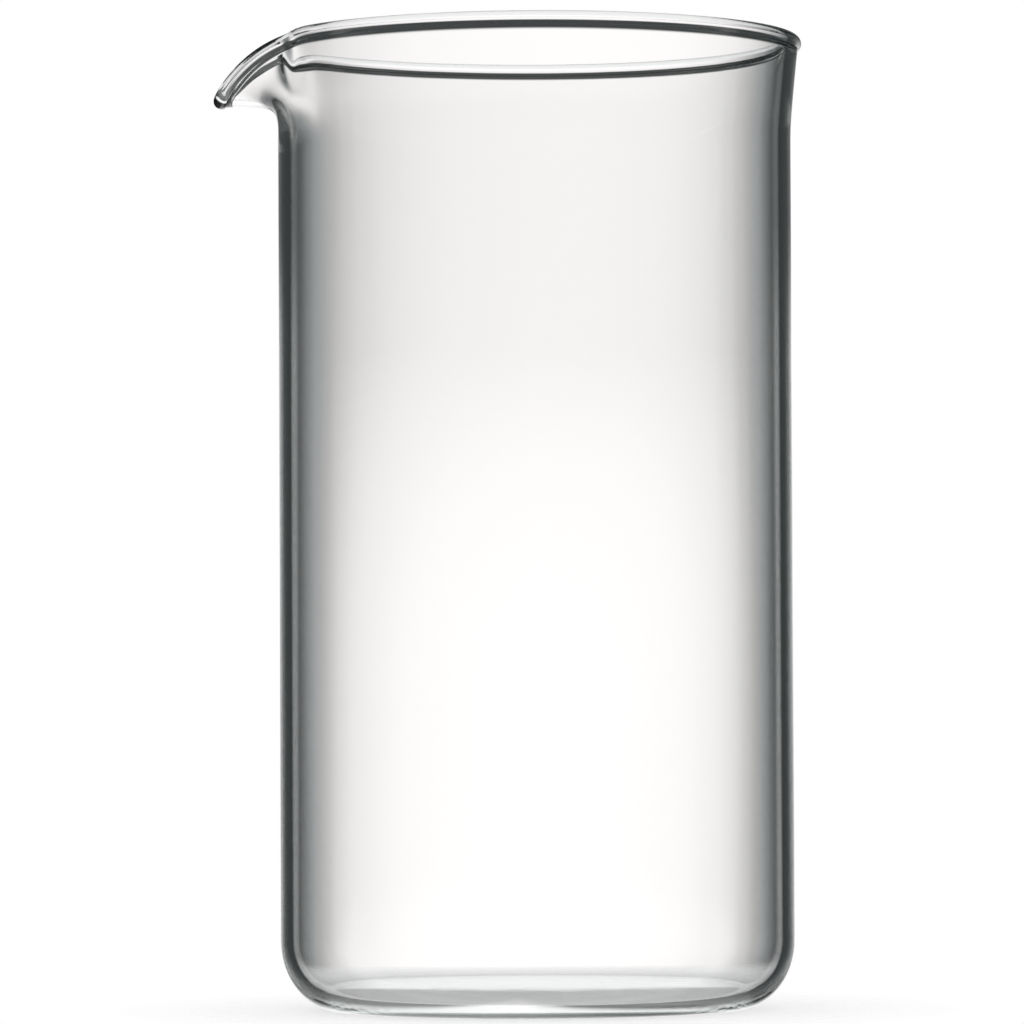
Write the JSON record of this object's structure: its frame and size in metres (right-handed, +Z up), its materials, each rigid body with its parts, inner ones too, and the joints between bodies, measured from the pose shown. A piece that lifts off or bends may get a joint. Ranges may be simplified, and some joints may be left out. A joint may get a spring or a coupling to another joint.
{
  "type": "coffee carafe",
  "caption": "Clear blown-glass coffee carafe: straight cylinder with a rounded heel, flat bottom, flared beaded rim and a drawn pouring spout.",
  "frame": {"origin": "centre of the flat bottom that the carafe stands on, on the axis of the cylinder", "axes": "+Z up along the axis of the cylinder, -X towards the spout, +Y across it"},
  "size_m": [0.0816, 0.074, 0.1344],
  "materials": {
    "clear_glass": "fire-polished, clear"
  },
  "bodies": {
    "root": {"glass_carafe": "clear_glass"}
  },
  "joints": []
}
